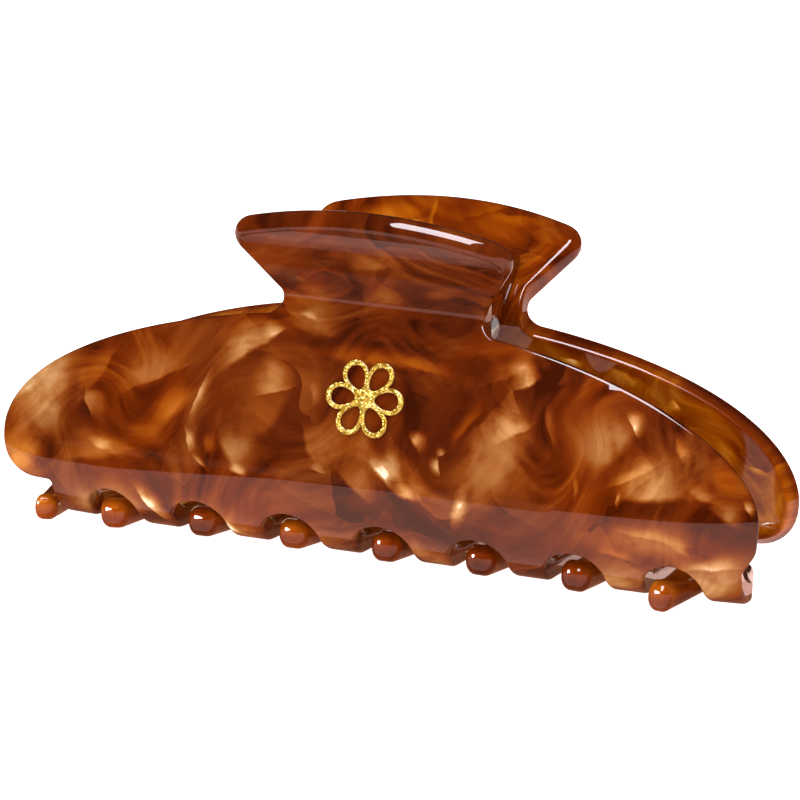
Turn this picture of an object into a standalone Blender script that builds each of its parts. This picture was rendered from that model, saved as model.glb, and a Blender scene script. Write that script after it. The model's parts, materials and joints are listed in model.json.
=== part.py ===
"""Claw clip: two identical acetate jaws on a sprung hinge.

Each jaw is a flat blank of sheet, cut to outline and then bent: u runs along the clip and s runs across
the blank, from the tooth tips (negative s) over the curl and the side wall to the top of the finger tab.
X is the clip's length, the front jaw is on the -Y side, and the tips of the end teeth rest on Z = 0.
"""
import math

import bmesh
import bpy
from mathutils import Matrix, Vector

MM = 0.001

# The sheet and its bent profile, measured on the outer face
SHEET = 3.2 * MM                # sheet thickness
SIDE_REACH = 14.6 * MM          # widest point of the side wall from the centre plane
CURL_RADIUS = 8.4 * MM          # bend under the side wall, down to the teeth
RUN_HEIGHT = 1.3 * MM           # bottom of the curl, where the teeth leave it
SIDE_HEIGHT = 11.3 * MM         # where the side wall starts to lean inwards
WALL_RADIUS = 55.0 * MM         # shallow arc of the side wall
NECK_HEIGHT = 35.3 * MM         # narrowest point, below the finger tab
CREASE_RADIUS = 2.0 * MM        # bend between side wall and tab
TAB_FLARE = math.radians(44.0)  # the tab leans outwards from vertical
END_INSET = 3.4 * MM            # how far the ends of a jaw curve in towards the other one
END_POWER = 6.0                 # how late along the jaw that curve starts

# The blank's outline
HALF_LENGTH = 55.0 * MM         # centre to the end of a lobe
LOBE_HEIGHT = 16.3 * MM         # s of the lobes' widest point
CROWN_ABOVE_WALL = 0.1 * MM     # the crown of the top edge, past the side wall's end
CROWN_POWER = 1.88              # 2 would make the top edge an ellipse
CROWN_SPREAD = 0.9              # below 1 the edge's points crowd towards the lobe
NECK_HALF_WIDTH = 13.0 * MM
NECK_FILLET = 2.5 * MM
TAB_HALF_WIDTH = 21.4 * MM
TAB_LENGTH = 10.6 * MM          # from the crease to the tab's corners
TAB_CROWN = 4.4 * MM            # bulge of the tab's top edge above its corners
TAB_CORNER = 3.4 * MM

# Teeth
TEETH = 8
END_TOOTH_MARGIN = 4.0 * MM     # from the end of the lobe to the middle of the outermost tooth
END_TOOTH_SHIFT = 0.56 * MM     # the end teeth sit a little closer to the others
END_TOOTH_SHORTER = 2.5 * MM    # the outermost tooth of a jaw is shorter than the others
FAN = 5.0 * MM                  # how far a tip at the very end of the jaw would lean towards the middle
FAN_POWER = 6.0
DROP_POWER = 4.0                # how late along the jaw the teeth start to slope down to Z = 0
TOOTH_ROOT_WIDTH = 5.6 * MM
TOOTH_TIP_WIDTH = 4.2 * MM
TOOTH_RUN = 17.9 * MM           # flat length of a tooth past the curl
TIP_ROUND = 1.7 * MM
SCALLOP_TOP = 9.8 * MM          # s of the arches between the teeth
SCALLOP_RADIUS = 3.9 * MM
NOTCH_RADIUS = 0.6 * MM         # inner corner between an end tooth and its lobe
TAIL_RADIUS = 6.0 * MM          # lower corner of the lobe beside the wide end gap
TAIL_CUT = 3.0 * MM             # sloping cut of the lobe beside the end tooth
EDGE_ROUND = 0.3 * MM           # polished edge of the sheet
EDGE_ANGLE = math.radians(60.0) # sharper edges than this are rounded

# Hinge and spring
PIN_BELOW_NECK = 2.0 * MM
PIN_RADIUS = 0.8 * MM
PIN_HEAD_RADIUS = 1.6 * MM
PIN_HEAD_LENGTH = 0.6 * MM
LUG_WIDTH = 2.0 * MM
LUG_LEAF = 1.8 * MM             # thickness of the leaf that is bonded to the tab
LUG_BARREL_RADIUS = 1.95 * MM
LUG_BOND = 4.2 * MM             # length of leaf on the tab's flat inner face
OUTER_LUG_FROM = 10.6 * MM      # inner side of the outer lug, from the middle
LUG_SPACE = 0.4 * MM            # between neighbouring lugs
WIRE_RADIUS = 0.45 * MM
COIL_RADIUS = 2.2 * MM          # to the middle of the wire
COIL_TURNS = 6
COIL_PITCH = 1.2 * MM
SPRING_LEG_PAST_CREASE = 2.6 * MM
GAP = 0.3 * MM                  # glue line or clearance between neighbouring pieces
SPRING_GAP = 0.4 * MM

# Emblem: an openwork blossom
EMBLEM_RADIUS = 5.6 * MM
EMBLEM_THICKNESS = 0.4 * MM
EMBLEM_HEIGHT = 23.6 * MM
EMBLEM_PETALS = 6
EMBLEM_LINE = 0.75 * MM         # width of its lines
EMBLEM_WAIST = 0.62             # radius between two petals, as a share of the whole
EMBLEM_LOBE_POWER = 0.7         # below 1 the petals are blunt
PETAL_BASE = 0.25               # where a petal's window starts, as a share of the radius
PETAL_WIDTH = 0.42              # its width, likewise
PETAL_TAPER = 0.25              # how much wider it is beyond its middle

# Fineness of the mesh
ARC_STEP = math.radians(18.0)
CURL_CUTS = 9
WALL_CUTS = 4
CREASE_CUTS = 4
LENGTH_CUTS = 12
TOP_EDGE_POINTS = 11
TAB_EDGE_POINTS = 9
ROUND_SIDES = 24
COIL_STEP = math.radians(30.0)
LOBE_STEPS = 12
PETAL_STEPS = 14
WELD = 0.01 * MM                # points closer than this are one
SHORTEST_EDGE = 0.12 * MM       # shorter edges of the blank would spoil its rounded edges

# Places that follow from the profile
CURL_END = CURL_RADIUS * math.pi / 2
WALL_START = CURL_END + SIDE_HEIGHT - RUN_HEIGHT - CURL_RADIUS
WALL_LEAN = math.asin((NECK_HEIGHT - SIDE_HEIGHT) / (WALL_RADIUS + CREASE_RADIUS))
CREASE_START = WALL_START + WALL_RADIUS * WALL_LEAN
CREASE_END = CREASE_START + CREASE_RADIUS * (WALL_LEAN + TAB_FLARE)
NECK_S = CREASE_START + CREASE_RADIUS * WALL_LEAN
CREASE_CENTRE = SIDE_REACH - WALL_RADIUS + (WALL_RADIUS + CREASE_RADIUS) * math.cos(WALL_LEAN)
CROWN_TOP = CREASE_START + CROWN_ABOVE_WALL
PIN_HEIGHT = NECK_HEIGHT - PIN_BELOW_NECK

# The teeth fill the length. They sit a quarter pitch off centre, so that two equal jaws interleave
PITCH = (HALF_LENGTH - END_TOOTH_MARGIN) / ((TEETH - 1) / 2 + 1 / 4)
DROP_FROM = PITCH * ((TEETH - 1) / 2 - 1 / 4) - END_TOOTH_SHIFT


def clear_scene():
    """Remove every object that is in the file."""
    for item in list(bpy.data.objects):
        bpy.data.objects.remove(item, do_unlink=True)


def new_collection(name):
    collection = bpy.data.collections.new(name)
    bpy.context.scene.collection.children.link(collection)
    return collection


def make_material(name, colour, roughness, metallic=0.0):
    material = bpy.data.materials.new(name)
    material.use_nodes = True
    shader = material.node_tree.nodes["Principled BSDF"]
    shader.inputs["Base Color"].default_value = (*colour, 1.0)
    shader.inputs["Roughness"].default_value = roughness
    shader.inputs["Metallic"].default_value = metallic
    return material


def add_mesh_object(name, bm, collection, material=None):
    mesh = bpy.data.meshes.new(name)
    bm.to_mesh(mesh)
    bm.free()
    item = bpy.data.objects.new(name, mesh)
    collection.objects.link(item)
    if material:
        mesh.materials.append(material)
    return item


# ---------------------------------------------------------------- the bent sheet

def profile(s):
    """Outer face at s: distance from the centre plane, and height."""
    if s < 0:
        return SIDE_REACH - CURL_RADIUS + s, RUN_HEIGHT
    if s < CURL_END:
        turn = s / CURL_RADIUS
        height = RUN_HEIGHT + CURL_RADIUS * (1 - math.cos(turn))
        return SIDE_REACH - CURL_RADIUS * (1 - math.sin(turn)), height
    if s < WALL_START:
        return SIDE_REACH, SIDE_HEIGHT - (WALL_START - s)
    if s < CREASE_START:
        turn = (s - WALL_START) / WALL_RADIUS
        return SIDE_REACH - WALL_RADIUS * (1 - math.cos(turn)), SIDE_HEIGHT + WALL_RADIUS * math.sin(turn)
    if s < CREASE_END:
        turn = (s - NECK_S) / CREASE_RADIUS
        return CREASE_CENTRE - CREASE_RADIUS * math.cos(turn), NECK_HEIGHT + CREASE_RADIUS * math.sin(turn)
    along = s - CREASE_END
    reach = CREASE_CENTRE - CREASE_RADIUS * math.cos(TAB_FLARE) + along * math.sin(TAB_FLARE)
    return reach, NECK_HEIGHT + CREASE_RADIUS * math.sin(TAB_FLARE) + along * math.cos(TAB_FLARE)


def end_curve(u):
    """How far the jaw has curved inwards at u."""
    return END_INSET * (abs(u) / HALF_LENGTH) ** END_POWER


def bend(u, s):
    """Point of the blank, on the outer face of the front jaw."""
    reach, height = profile(s)
    along_run = max(0.0, -s / TOOTH_RUN)
    lean = FAN * (abs(u) / HALF_LENGTH) ** FAN_POWER * along_run
    drop = RUN_HEIGHT * min(1.0, abs(u) / DROP_FROM) ** DROP_POWER * along_run
    return Vector((u - math.copysign(lean, u), -reach + end_curve(u), height - drop))


def round_corners(corners):
    """Closed outline through (u, s, radius) corners, each replaced by an arc of its radius."""
    outline = []
    for index, (u, s, radius) in enumerate(corners):
        corner = Vector((u, s))
        before = Vector(corners[index - 1][:2]) - corner
        after = Vector(corners[(index + 1) % len(corners)][:2]) - corner
        before.normalize()
        after.normalize()
        opening = before.angle(after)
        if radius == 0 or math.pi - opening < 0.01:
            outline.append(corner)
            continue
        centre = corner + (before + after).normalized() * (radius / math.sin(opening / 2))
        start = corner + before * (radius / math.tan(opening / 2)) - centre
        sweep = math.pi - opening
        if before.x * after.y - before.y * after.x > 0:
            sweep = -sweep
        steps = max(2, math.ceil(abs(sweep) / ARC_STEP))
        for step in range(steps + 1):
            turned = Matrix.Rotation(sweep * step / steps, 2) @ start
            outline.append(centre + turned)
    return outline


def tooth_centres():
    """Middles of the teeth along u."""
    centres = [(i - (TEETH - 1) / 2) * PITCH + PITCH / 4 for i in range(TEETH)]
    centres[0] += END_TOOTH_SHIFT
    centres[-1] -= END_TOOTH_SHIFT
    return centres


def crown(u):
    """s of the body's top edge at u."""
    share = min(1.0, abs(u) / HALF_LENGTH)
    return LOBE_HEIGHT + (CROWN_TOP - LOBE_HEIGHT) * (1 - share ** CROWN_POWER) ** (1 / CROWN_POWER)


def top_edge(side, count=TOP_EDGE_POINTS):
    """The top edge of the body from neck to lobe on one side (+1 or -1)."""
    start = math.asin((NECK_HALF_WIDTH + 2 * NECK_FILLET) / HALF_LENGTH)
    corners = []
    for step in range(count):
        angle = start + (math.pi / 2 - start) * (step / (count - 1)) ** CROWN_SPREAD
        u = HALF_LENGTH * math.sin(angle)
        corners.append((side * u, crown(u), 0))
    return corners


def tab_edge(count=TAB_EDGE_POINTS):
    """Top edge of the tab, from its left corner to its right one."""
    corners = []
    for step in range(count):
        u = TAB_HALF_WIDTH * (2 * step / (count - 1) - 1)
        bulge = TAB_CROWN * (1 - (u / TAB_HALF_WIDTH) ** 2)
        radius = TAB_CORNER if step in (0, count - 1) else 0
        corners.append((u, CREASE_END + TAB_LENGTH + bulge, radius))
    return corners


def blank_outline():
    """Outline of the flat blank, clockwise from the tab's left corner."""
    neck_s = crown(NECK_HALF_WIDTH)
    corners = tab_edge()
    corners.append((NECK_HALF_WIDTH, neck_s, NECK_FILLET))
    corners += top_edge(1)
    corners.append((HALF_LENGTH, SCALLOP_TOP + TAIL_CUT, TAIL_CUT))
    centres = tooth_centres()
    root = TOOTH_ROOT_WIDTH / 2
    tip = TOOTH_TIP_WIDTH / 2
    for index in reversed(range(TEETH)):
        centre = centres[index]
        right_round = SCALLOP_RADIUS if index < TEETH - 1 else NOTCH_RADIUS
        left_round = SCALLOP_RADIUS if index > 0 else NOTCH_RADIUS
        corners.append((centre + root, SCALLOP_TOP, right_round))
        run = TOOTH_RUN - (END_TOOTH_SHORTER if index == TEETH - 1 else 0)
        corners.append((centre + tip, -run, TIP_ROUND))
        corners.append((centre - tip, -run, TIP_ROUND))
        corners.append((centre - root, SCALLOP_TOP, left_round))
    corners.append((-HALF_LENGTH, SCALLOP_TOP, TAIL_RADIUS))
    corners += reversed(top_edge(-1))
    corners.append((-NECK_HALF_WIDTH, neck_s, NECK_FILLET))
    return round_corners(corners)


def slice_blank(bm):
    """Cut the flat blank across, so that it can bend."""
    cuts = [CURL_END * i / CURL_CUTS for i in range(CURL_CUTS + 1)]
    cuts += [WALL_START + (CREASE_START - WALL_START) * i / WALL_CUTS for i in range(WALL_CUTS + 1)]
    cuts += [CREASE_START + (CREASE_END - CREASE_START) * i / CREASE_CUTS for i in range(1, CREASE_CUTS + 1)]
    planes = [((0, s, 0), (0, 1, 0)) for s in cuts]
    for i in range(1, LENGTH_CUTS):
        planes.append(((HALF_LENGTH * (2 * i / LENGTH_CUTS - 1), 0, 0), (1, 0, 0)))
    for place, direction in planes:
        geometry = bm.verts[:] + bm.edges[:] + bm.faces[:]
        bmesh.ops.bisect_plane(bm, geom=geometry, dist=WELD, plane_co=place, plane_no=direction)
    bmesh.ops.remove_doubles(bm, verts=bm.verts, dist=SHORTEST_EDGE)


def make_jaw(name, collection, material):
    """The front jaw's place and shape. The outer face is bent first and thickened inwards."""
    bm = bmesh.new()
    corners = [bm.verts.new((point.x, point.y, 0)) for point in reversed(blank_outline())]
    bm.faces.new(corners)
    slice_blank(bm)
    bmesh.ops.triangulate(bm, faces=[face for face in bm.faces if len(face.verts) > 4])
    for vertex in bm.verts:
        vertex.co = bend(vertex.co.x, vertex.co.y)
    jaw = add_mesh_object(name, bm, collection, material)
    solidify = jaw.modifiers.new("sheet", "SOLIDIFY")
    solidify.thickness = SHEET
    solidify.offset = -1
    solidify.use_even_offset = True
    bevel = jaw.modifiers.new("edge", "BEVEL")
    bevel.width = EDGE_ROUND
    bevel.segments = 1
    bevel.limit_method = "ANGLE"
    bevel.angle_limit = EDGE_ANGLE
    return jaw


# ---------------------------------------------------------------- hinge

def tab_frame():
    """Axes of the front tab's inner face: up along the tab, outwards, and its distance from the pin."""
    along = Vector((0, -math.sin(TAB_FLARE), math.cos(TAB_FLARE)))
    outward = Vector((0, -math.cos(TAB_FLARE), -math.sin(TAB_FLARE)))
    crease = Vector((0, -CREASE_CENTRE, NECK_HEIGHT - PIN_HEIGHT))
    face_distance = crease.dot(outward) - (CREASE_RADIUS + SHEET)
    return along, outward, crease.dot(along), face_distance


def add_cylinder(name, radius, length, collection):
    """A cylinder along X on the pin's axis."""
    bm = bmesh.new()
    along_x = Matrix.Rotation(math.pi / 2, 4, "Y")
    bmesh.ops.create_cone(bm, cap_ends=True, segments=ROUND_SIDES, radius1=radius, radius2=radius,
                          depth=length, matrix=along_x)
    return add_mesh_object(name, bm, collection)


def hide_cutter(item):
    item.hide_render = True
    item.display_type = "WIRE"


def make_lug(name, centre_x, collection, cutters, material):
    """Leaf on the front tab's inner face, with a barrel for the pin. Its origin is on the pin's axis."""
    along, outward, crease_end, face_distance = tab_frame()
    leaf_length = crease_end + LUG_BOND
    leaf_middle = outward * (face_distance - GAP - LUG_LEAF / 2) + along * (leaf_length / 2)
    bm = bmesh.new()
    bmesh.ops.create_cube(bm, size=1.0)
    bmesh.ops.scale(bm, verts=bm.verts, vec=(LUG_WIDTH, LUG_LEAF, leaf_length))
    bmesh.ops.rotate(bm, verts=bm.verts, matrix=Matrix.Rotation(TAB_FLARE, 3, "X"))
    bmesh.ops.translate(bm, verts=bm.verts, vec=leaf_middle)
    lug = add_mesh_object(name, bm, collection, material)
    lug.location = (centre_x, 0, PIN_HEIGHT)
    barrel = add_cylinder(name + "_barrel_tool", LUG_BARREL_RADIUS, LUG_WIDTH, cutters)
    hole = add_cylinder(name + "_hole_tool", PIN_RADIUS + GAP, LUG_WIDTH * 2, cutters)
    for tool, operation in ((barrel, "UNION"), (hole, "DIFFERENCE")):
        tool.location = lug.location
        hide_cutter(tool)
        cut = lug.modifiers.new(operation.lower(), "BOOLEAN")
        cut.operation = operation
        cut.object = tool
        cut.solver = "EXACT"
    return lug


def make_pin(collection, material):
    """Steel pin along X with a low domed head at each end."""
    reach = OUTER_LUG_FROM + LUG_WIDTH + GAP
    dome = [(reach + PIN_HEAD_LENGTH * math.sin(math.radians(a)), PIN_HEAD_RADIUS * math.cos(math.radians(a)))
            for a in range(0, 91, 18)]
    half = [(0, PIN_RADIUS), (reach, PIN_RADIUS)] + dome
    left = [(-x, radius) for x, radius in reversed(half[1:])]
    bm = bmesh.new()
    points = [bm.verts.new((max(radius, 0.0), 0, x)) for x, radius in reversed(left + half)]
    for first, second in zip(points, points[1:]):
        bm.edges.new((first, second))
    pin = add_mesh_object("hinge_pin", bm, collection, material)
    screw = pin.modifiers.new("turn", "SCREW")
    screw.axis = "Z"
    screw.steps = ROUND_SIDES
    screw.render_steps = ROUND_SIDES
    screw.use_merge_vertices = True
    screw.merge_threshold = WELD
    pin.rotation_euler = (0, math.pi / 2, 0)
    pin.location = (0, 0, PIN_HEIGHT)
    return pin


def spring_path():
    """Front leg, coil round the pin, back leg, about the pin's axis."""
    along, outward, crease_end, face_distance = tab_frame()
    leg_bearing = face_distance - SPRING_GAP - WIRE_RADIUS
    fall = (COIL_RADIUS - leg_bearing) / crease_end
    leg_length = crease_end + SPRING_LEG_PAST_CREASE
    front_end = along * leg_length + outward * (COIL_RADIUS - fall * leg_length)
    reach = math.hypot(front_end.y, front_end.z)
    end_angle = math.atan2(front_end.z, front_end.y)
    tangent = math.acos(COIL_RADIUS / reach)
    start = end_angle + tangent
    finish = math.pi - end_angle - tangent + 2 * math.pi * COIL_TURNS
    half_coil = COIL_PITCH * (finish - start) / (4 * math.pi)
    steps = round((finish - start) / COIL_STEP)
    points = [Vector((half_coil, front_end.y, front_end.z))]
    for step in range(steps + 1):
        part = step / steps
        angle = start + (finish - start) * part
        points.append(Vector((half_coil * (1 - 2 * part), COIL_RADIUS * math.cos(angle),
                              COIL_RADIUS * math.sin(angle))))
    points.append(Vector((-half_coil, -front_end.y, front_end.z)))
    return points


def make_spring(collection, material):
    curve = bpy.data.curves.new("torsion_spring", "CURVE")
    curve.dimensions = "3D"
    curve.bevel_depth = WIRE_RADIUS
    curve.bevel_resolution = 2
    curve.use_fill_caps = True
    points = spring_path()
    spline = curve.splines.new("POLY")
    spline.points.add(len(points) - 1)
    for place, point in zip(spline.points, points):
        place.co = (*point, 1)
    spring = bpy.data.objects.new("torsion_spring", curve)
    spring.location = (0, 0, PIN_HEIGHT)
    collection.objects.link(spring)
    curve.materials.append(material)
    return spring


# ---------------------------------------------------------------- emblem

def add_loop(curve, points):
    spline = curve.splines.new("POLY")
    spline.points.add(len(points) - 1)
    for place, (x, y) in zip(spline.points, points):
        place.co = (x, y, 0, 1)
    spline.use_cyclic_u = True


def petal(length, width, base, turn):
    """Pointed oval from base outwards, turned about the middle."""
    points = []
    for step in range(PETAL_STEPS):
        angle = 2 * math.pi * step / PETAL_STEPS
        x = base + length * (1 - math.cos(angle)) / 2
        y = width / 2 * math.sin(angle) * (1 - PETAL_TAPER * math.cos(angle))
        points.append((x * math.cos(turn) - y * math.sin(turn), x * math.sin(turn) + y * math.cos(turn)))
    return points


def make_emblem(collection, material):
    """Openwork blossom: a scalloped outline with a window in each petal."""
    curve = bpy.data.curves.new("emblem", "CURVE")
    curve.dimensions = "2D"
    curve.fill_mode = "BOTH"
    curve.extrude = EMBLEM_THICKNESS / 2
    steps = EMBLEM_PETALS * LOBE_STEPS
    outline = []
    for step in range(steps):
        angle = 2 * math.pi * step / steps
        lobe = abs(math.cos(EMBLEM_PETALS * angle / 2))
        radius = EMBLEM_RADIUS * (EMBLEM_WAIST + (1 - EMBLEM_WAIST) * lobe ** EMBLEM_LOBE_POWER)
        outline.append((radius * math.cos(angle), radius * math.sin(angle)))
    add_loop(curve, outline)
    for index in range(EMBLEM_PETALS):
        turn = 2 * math.pi * index / EMBLEM_PETALS
        base = EMBLEM_RADIUS * PETAL_BASE
        length = EMBLEM_RADIUS - base - EMBLEM_LINE
        add_loop(curve, petal(length, EMBLEM_RADIUS * PETAL_WIDTH, base, turn))
    emblem = bpy.data.objects.new("emblem", curve)
    collection.objects.link(emblem)
    curve.materials.append(material)
    lean = math.asin((EMBLEM_HEIGHT - SIDE_HEIGHT) / WALL_RADIUS)
    wall = bend(0, WALL_START + WALL_RADIUS * lean)
    outward = Vector((0, -math.cos(lean), math.sin(lean)))
    emblem.location = wall + outward * (GAP + EMBLEM_THICKNESS / 2)
    emblem.rotation_euler = (math.pi / 2 - lean, 0, 0)
    return emblem


# ---------------------------------------------------------------- assembly

def main():
    clear_scene()
    parts = new_collection("claw_clip")
    cutters = new_collection("cutters")
    acetate_front = make_material("marbled_acetate_front", (0.36, 0.13, 0.04), 0.15)
    acetate_back = make_material("marbled_acetate_back", (0.42, 0.16, 0.04), 0.15)
    acetate_lug = make_material("clear_brown_acetate", (0.40, 0.15, 0.05), 0.2)
    steel = make_material("polished_steel", (0.62, 0.60, 0.58), 0.25, 1.0)
    spring_steel = make_material("spring_steel", (0.50, 0.49, 0.47), 0.3, 1.0)
    gold = make_material("gold_foil", (0.80, 0.60, 0.18), 0.35, 1.0)

    make_jaw("front_jaw", parts, acetate_front)
    outer = OUTER_LUG_FROM + LUG_WIDTH / 2
    inner = outer - LUG_WIDTH - LUG_SPACE
    make_lug("front_hinge_lug_left", -outer, parts, cutters, acetate_lug)
    make_lug("front_hinge_lug_right", inner, parts, cutters, acetate_lug)
    make_pin(parts, steel)
    make_spring(parts, spring_steel)
    make_emblem(parts, gold)

    # The back jaw and its lugs are the front ones turned half round, under an empty on the hinge's axis
    swing = bpy.data.objects.new("back_swing", None)
    parts.objects.link(swing)
    swing.location = (0, 0, PIN_HEIGHT)
    swing.rotation_euler = (0, 0, math.pi)
    back_jaw = make_jaw("back_jaw", parts, acetate_back)
    back_jaw.location = (0, 0, -PIN_HEIGHT)
    back_jaw.parent = swing
    for name, offset in (("back_hinge_lug_right", -outer), ("back_hinge_lug_left", inner)):
        lug = make_lug(name, offset, parts, cutters, acetate_lug)
        for item in [lug] + [cut.object for cut in lug.modifiers]:
            item.location = (offset, 0, 0)
            item.parent = swing


main()
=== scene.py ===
"""Claw clip: the fine surfaces, materials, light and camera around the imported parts.

The jaws are rebuilt here from the same blank and bend as the parts, with polished round edges.
u runs along the clip, s across the blank from the tooth tips to the top of the tab, both in metres.
"""

import json
import math

import bmesh
import bpy
from mathutils import Matrix, Vector


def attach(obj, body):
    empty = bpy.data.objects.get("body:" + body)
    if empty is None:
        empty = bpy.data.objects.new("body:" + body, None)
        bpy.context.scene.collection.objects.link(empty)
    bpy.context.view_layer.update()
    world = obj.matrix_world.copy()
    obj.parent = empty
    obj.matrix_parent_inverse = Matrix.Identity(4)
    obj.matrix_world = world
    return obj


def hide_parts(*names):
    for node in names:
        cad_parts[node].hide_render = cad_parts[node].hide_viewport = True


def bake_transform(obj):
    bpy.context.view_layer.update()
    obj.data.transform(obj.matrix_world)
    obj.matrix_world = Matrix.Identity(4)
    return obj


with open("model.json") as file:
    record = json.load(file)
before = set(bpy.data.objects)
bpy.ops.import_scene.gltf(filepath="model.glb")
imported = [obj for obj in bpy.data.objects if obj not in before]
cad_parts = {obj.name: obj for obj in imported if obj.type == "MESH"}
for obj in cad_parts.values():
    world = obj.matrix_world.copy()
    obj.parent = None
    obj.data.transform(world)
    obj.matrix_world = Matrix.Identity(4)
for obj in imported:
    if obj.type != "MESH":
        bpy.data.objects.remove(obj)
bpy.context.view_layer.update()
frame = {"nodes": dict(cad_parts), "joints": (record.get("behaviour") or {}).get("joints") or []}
HINGE = Vector(frame["joints"][0]["pos_m"])

MM = 0.001

# The sheet and its bent profile, as in the parts
SHEET = 3.2 * MM
SIDE_REACH = 14.6 * MM
CURL_RADIUS = 8.4 * MM
RUN_HEIGHT = 1.3 * MM
SIDE_HEIGHT = 11.3 * MM
WALL_RADIUS = 55.0 * MM
NECK_HEIGHT = 35.3 * MM
CREASE_RADIUS = 2.0 * MM
TAB_FLARE = math.radians(44.0)
END_INSET = 3.4 * MM
END_POWER = 6.0
HALF_LENGTH = 55.0 * MM
LOBE_HEIGHT = 16.3 * MM
CROWN_ABOVE_WALL = 0.1 * MM
CROWN_POWER = 1.88
CROWN_SPREAD = 0.9              # below 1, moves the crown's points towards the lobe
NECK_HALF_WIDTH = 13.0 * MM
NECK_FILLET = 2.5 * MM
TAB_HALF_WIDTH = 21.4 * MM
TAB_LENGTH = 10.6 * MM
TAB_CROWN = 4.4 * MM
TAB_CORNER = 3.4 * MM
TAB_CORNER_FROM = 0.8           # share of the tab's half width past which only its corner's arc is left
TEETH = 8
END_TOOTH_MARGIN = 4.0 * MM
END_TOOTH_SHIFT = 0.56 * MM
END_TOOTH_SHORTER = 2.5 * MM
FAN = 5.0 * MM
FAN_POWER = 6.0
DROP_POWER = 4.0
TOOTH_ROOT_WIDTH = 5.6 * MM
TOOTH_TIP_WIDTH = 4.2 * MM
TOOTH_RUN = 17.9 * MM
TIP_ROUND = 1.7 * MM
SCALLOP_TOP = 9.8 * MM
SCALLOP_RADIUS = 3.9 * MM
NOTCH_RADIUS = 0.6 * MM
TAIL_RADIUS = 6.0 * MM
TAIL_CUT = 3.0 * MM

# Emblem: the parts' openwork blossom, with round edges and following the wall
EMBLEM_RADIUS = 5.6 * MM
EMBLEM_THICKNESS = 0.4 * MM
EMBLEM_HEIGHT = 23.6 * MM
EMBLEM_PETALS = 6
EMBLEM_LINE = 0.75 * MM
EMBLEM_WAIST = 0.62
EMBLEM_LOBE_POWER = 0.7
PETAL_BASE = 0.25
PETAL_WIDTH = 0.42
PETAL_TAPER = 0.25
EMBLEM_GAP = 0.3 * MM
EMBLEM_BEVEL = 0.16 * MM

# Hinge: pin and spring, as in the parts
PIN_RADIUS = 0.8 * MM
PIN_HEAD_RADIUS = 1.6 * MM
PIN_HEAD_LENGTH = 0.6 * MM
PIN_REACH = 12.9 * MM           # from the middle to under a head
PIN_HEAD_EDGE = 0.05 * MM
LUG_EDGE = 0.3 * MM
WIRE_RADIUS = 0.45 * MM
COIL_RADIUS = 2.2 * MM
COIL_TURNS = 6
COIL_PITCH = 1.2 * MM
COIL_STEP = math.radians(10.0)
SPRING_LEG_PAST_CREASE = 2.6 * MM
SPRING_GAP = 0.4 * MM

# Polished edges
BODY_EDGE = 0.5 * MM
TOOTH_EDGE = 1.45 * MM
TAB_EDGE = 1.5 * MM
TIP_SWELL = 0.36                # the tips are this much thicker than the sheet, towards the inside
TIP_SWELL_LENGTH = 7.0 * MM
TOOTH_EDGE_END = 7.0 * MM       # s where the teeth's rounder edge ends
TOOTH_EDGE_FADE = 9.0 * MM
TAB_EDGE_FADE = 5.0 * MM
EDGE_STEPS = 5
ARC_STEP = math.radians(9.0)
LENGTH_CUTS = 56                # slices along the length, so that the bend is smooth
ON_PLANE = 0.002 * MM           # a point this close to a cut is on it
SLIVER = 0.006 * MM             # points closer than this become one

CURL_END = CURL_RADIUS * math.pi / 2
WALL_START = CURL_END + SIDE_HEIGHT - RUN_HEIGHT - CURL_RADIUS
WALL_LEAN = math.asin((NECK_HEIGHT - SIDE_HEIGHT) / (WALL_RADIUS + CREASE_RADIUS))
CREASE_START = WALL_START + WALL_RADIUS * WALL_LEAN
CREASE_END = CREASE_START + CREASE_RADIUS * (WALL_LEAN + TAB_FLARE)
NECK_S = CREASE_START + CREASE_RADIUS * WALL_LEAN
CREASE_CENTRE = SIDE_REACH - WALL_RADIUS + (WALL_RADIUS + CREASE_RADIUS) * math.cos(WALL_LEAN)
CROWN_TOP = CREASE_START + CROWN_ABOVE_WALL
PITCH = (HALF_LENGTH - END_TOOTH_MARGIN) / ((TEETH - 1) / 2 + 1 / 4)
DROP_FROM = PITCH * ((TEETH - 1) / 2 - 1 / 4) - END_TOOTH_SHIFT


def add_object(name, data):
    item = bpy.data.objects.new(name, data)
    bpy.context.scene.collection.objects.link(item)
    return item


def evaluated_mesh(item):
    """The item's final mesh. The item itself is removed."""
    mesh = bpy.data.meshes.new_from_object(item.evaluated_get(bpy.context.evaluated_depsgraph_get()))
    bpy.data.objects.remove(item)
    return mesh


# ---------------------------------------------------------------- jaw shape

def profile(s):
    """Outer face at s: distance from the centre plane, and height."""
    if s < 0:
        return SIDE_REACH - CURL_RADIUS + s, RUN_HEIGHT
    if s < CURL_END:
        turn = s / CURL_RADIUS
        height = RUN_HEIGHT + CURL_RADIUS * (1 - math.cos(turn))
        return SIDE_REACH - CURL_RADIUS * (1 - math.sin(turn)), height
    if s < WALL_START:
        return SIDE_REACH, SIDE_HEIGHT - (WALL_START - s)
    if s < CREASE_START:
        turn = (s - WALL_START) / WALL_RADIUS
        return SIDE_REACH - WALL_RADIUS * (1 - math.cos(turn)), SIDE_HEIGHT + WALL_RADIUS * math.sin(turn)
    if s < CREASE_END:
        turn = (s - NECK_S) / CREASE_RADIUS
        return CREASE_CENTRE - CREASE_RADIUS * math.cos(turn), NECK_HEIGHT + CREASE_RADIUS * math.sin(turn)
    along = s - CREASE_END
    reach = CREASE_CENTRE - CREASE_RADIUS * math.cos(TAB_FLARE) + along * math.sin(TAB_FLARE)
    return reach, NECK_HEIGHT + CREASE_RADIUS * math.sin(TAB_FLARE) + along * math.cos(TAB_FLARE)


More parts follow.
